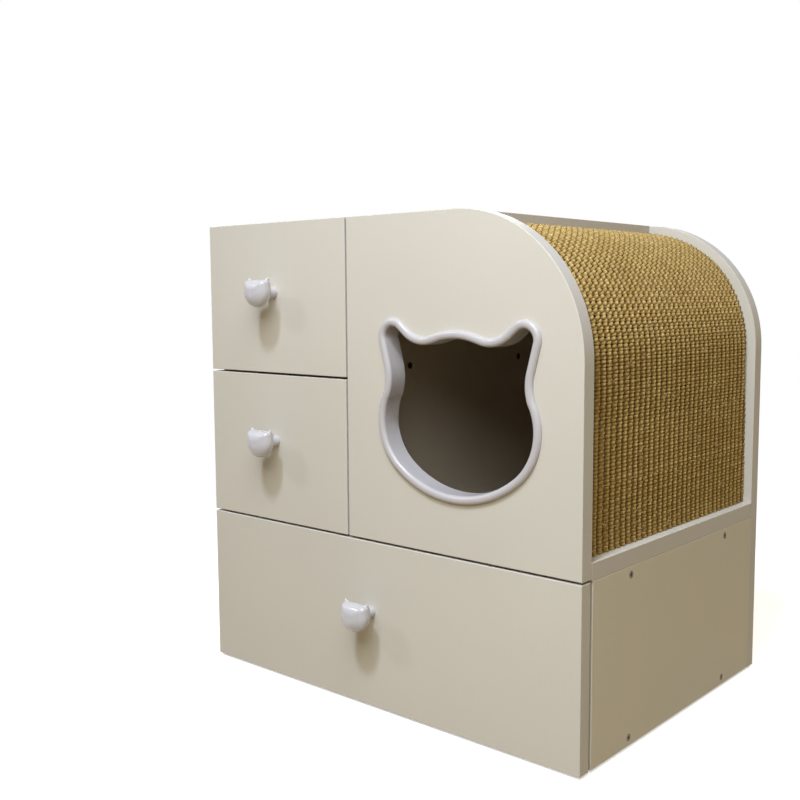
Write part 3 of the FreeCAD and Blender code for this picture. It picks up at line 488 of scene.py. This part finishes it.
def make_cords():
    """Rows of twisted cord that swell over ribs and pinch together in the hollows between."""
    rng = random.Random(11)
    low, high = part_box("sisal_mat")
    front = low.y + CORD_END_GAP
    back = high.y - CORD_END_GAP
    length = mat_length()
    pitch = length / ROWS
    steps = int((back - front) / RIB_PITCH * RIB_STEPS)
    points = []
    faces = []
    turns = []
    heights = []
    for row in range(ROWS):
        lift = rng.uniform(-ROW_LIFT, ROW_LIFT)
        sway = rng.uniform(0, 2 * math.pi)
        for ply in (-1, 1):
            middle = (row + 0.5) * pitch
            shift = wander(middle)
            bent = (middle - BEND_Z + DECK_TOP + TURN_BEFORE) / TURN_LENGTH
            bent = min(1.0, max(0.0, bent))
            slant = ply * (SLANT_UPRIGHT + SLANT_MORE * bent)
            pinch = PINCH_UPRIGHT + PINCH_MORE * bent
            wide = CORD_HALF_WIDTH * rng.uniform(*CORD_SPREAD)
            deep = CORD_HALF_DEPTH * rng.uniform(*CORD_SPREAD)
            centres = []
            frames = []
            for step in range(steps + 1):
                y = front + (back - front) * step / steps
                phase = 2 * math.pi * (y - front + shift) / RIB_PITCH + slant
                crest = 0.5 + 0.5 * math.cos(phase)
                apart = pitch / 4 * (PLY_SPACE - pinch + pinch * crest)
                drift = DRIFT * math.sin(y / DRIFT_LENGTH + sway)
                s = middle + ply * apart + SIDE_SWING * math.sin(phase) + drift
                s = min(max(s, wide), length - wide)
                out = CORD_OUT + RIB_RISE * crest ** RIB_POWER + lift * crest
                out += rng.uniform(-STEP_LIFT, STEP_LIFT)
                normal = out_of_mat(s)
                along = Vector((-normal.z, 0, normal.x))
                swell = CORD_SWELL_LOW + CORD_SWELL_MORE * crest
                centres.append(on_mat(s, y, out))
                frames.append((along * wide * swell, -normal * deep * swell))
                # Each point keeps its crest value, which drives the painted shade in the hollows
                # between ribs
                heights += [crest * (CREST_UPRIGHT + CREST_MORE * bent)] * CORD_SIDES
            twist = RIB_PITCH / RIB_STEPS / TWIST_LENGTH
            tube(points, faces, turns, CORD_SIDES, centres, frames, twist)
    look = sisal_cord("sisal_cord")
    cords = new_mesh("sisal_cords", points, faces, look, turns, heights)
    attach(cords, "cabinet")
    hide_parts("sisal_mat")


def make_cloth():
    """The cloth that the cords lie on, coloured dark as painted shade for the gaps between the
    cords.
    """
    low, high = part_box("sisal_mat")
    length = mat_length()
    points = []
    faces = []
    section = (
        (low.y, CLOTH_OUTER),
        (high.y, CLOTH_OUTER),
        (high.y, MAT_INNER),
        (low.y, MAT_INNER),
    )
    corners = len(section)
    for index in range(CLOTH_STEPS + 1):
        s = length * index / CLOTH_STEPS
        points += [on_mat(s, y, out) for y, out in section]
    for index in range(CLOTH_STEPS):
        for side in range(corners):
            a = index * corners + side
            b = index * corners + (side + 1) % corners
            faces.append((a, b, b + corners, a + corners))
    faces.append((3, 2, 1, 0))
    faces.append(tuple(CLOTH_STEPS * corners + side for side in range(corners)))
    # Painted shade: a real backing cloth, coloured dark brown so the gaps between the cords read as
    # shaded
    look = dull("sisal_backing_shade", (0.13, 0.078, 0.028), (0.08, 0.045, 0.016), 500.0)
    ground = new_mesh("sisal_backing_cloth", points, faces, look)
    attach(ground, "cabinet")


def make_fibres():
    """Loose ends of sisal fibre that stand a little off the weave."""
    rng = random.Random(5)
    low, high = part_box("sisal_mat")
    length = mat_length()
    points = []
    faces = []
    turns = []
    for _ in range(FIBRES):
        s = rng.uniform(FIBRE_EDGE, length - FIBRE_TOP_EDGE)
        y = rng.uniform(low.y + FIBRE_EDGE, high.y - FIBRE_BACK_EDGE)
        reach = rng.uniform(*FIBRE_REACH)
        heading = rng.gauss(0.0, FIBRE_HEADING)
        rise = rng.uniform(*FIBRE_RISE)
        thick = rng.uniform(*FIBRE_HALF_WIDTH)
        centres = []
        frames = []
        for step in range(FIBRE_STEPS + 1):
            part = step / FIBRE_STEPS
            here_s = s + math.sin(heading) * reach * part
            here_y = y + math.cos(heading) * reach * part
            normal = out_of_mat(here_s)
            along = Vector((-normal.z, 0, normal.x))
            out = FIBRE_OUT + rise * math.sin(math.pi * (0.15 + 0.75 * part))
            centres.append(on_mat(here_s, here_y, out))
            frames.append((along * thick, -normal * thick))
        tube(points, faces, turns, FIBRE_SIDES, centres, frames, 0.1)
    look = dull("sisal_fibre", (0.78, 0.65, 0.40), (0.60, 0.46, 0.24), 400.0)
    fibres = new_mesh("sisal_loose_fibres", points, faces, look)
    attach(fibres, "cabinet")


def add_area(name, place, target, size, power, colour):
    data = bpy.data.lights.new(name, "AREA")
    data.shape = "DISK"
    data.size = size
    data.energy = power
    data.color = colour
    lamp = bpy.data.objects.new(name, data)
    lamp.location = place
    lamp.rotation_euler = (Vector(target) - Vector(place)).to_track_quat("-Z", "Y").to_euler()
    bpy.context.scene.collection.objects.link(lamp)


def add_floor():
    """A white floor that keeps the object's shadow and fades into the background."""
    plane = bpy.data.meshes.new("studio_floor")
    reach = FLOOR_REACH
    corners = [(-reach, -reach, 0), (reach, -reach, 0), (reach, reach, 0), (-reach, reach, 0)]
    plane.from_pydata(corners, [], [(0, 1, 2, 3)])
    floor = bpy.data.objects.new("studio_floor", plane)
    bpy.context.scene.collection.objects.link(floor)

    recipe = Recipe("studio_floor")
    recipe.fixed(Base_Color=(0.9, 0.9, 0.9, 1), Roughness=0.9, Specular_IOR_Level=0.0)
    lift = recipe.node("ShaderNodeEmission", Color=(1, 1, 1, 1), Strength=FLOOR_LIFT)
    near = recipe.node("ShaderNodeAddShader")
    recipe.link(recipe.shader, "BSDF", near, 0)
    recipe.link(lift, "Emission", near, 1)
    white = recipe.node("ShaderNodeEmission", Color=(1, 1, 1, 1), Strength=1.0)
    where = recipe.node("ShaderNodeTexCoord")
    away = recipe.node("ShaderNodeVectorMath", operation="LENGTH")
    recipe.link(where, "Object", away, 0)
    far = recipe.span(away, "Value", 0.0, 1.0, *FLOOR_FADE)
    seen = recipe.node("ShaderNodeMixShader")
    recipe.link(far, "Result", seen, "Fac")
    recipe.link(near, "Shader", seen, 1)
    recipe.link(white, "Emission", seen, 2)
    warm = recipe.node("ShaderNodeBsdfDiffuse", Color=(*FLOOR_WARM, 1))
    recipe.by_ray(warm, seen, recipe.output)
    plane.materials.append(recipe.material)


def add_world():
    """White where it is looked at, and a soft warm light otherwise."""
    world = bpy.data.worlds.new("studio")
    bpy.context.scene.world = world
    world.use_nodes = True
    tree = Tree(world.node_tree)
    output = tree.node("ShaderNodeOutputWorld")
    soft = tree.node("ShaderNodeBackground", Color=(*SKY_WARM, 1), Strength=SKY_STRENGTH)
    white = tree.node("ShaderNodeBackground", Color=(1, 1, 1, 1), Strength=1.0)
    tree.by_ray(soft, white, output)


add_camera()
bpy.context.scene.view_settings.view_transform = "Standard"
dress_frame()
make_cords()
make_cloth()
make_fibres()
add_floor()
add_world()
for lamp in LAMPS:
    add_area(*lamp)

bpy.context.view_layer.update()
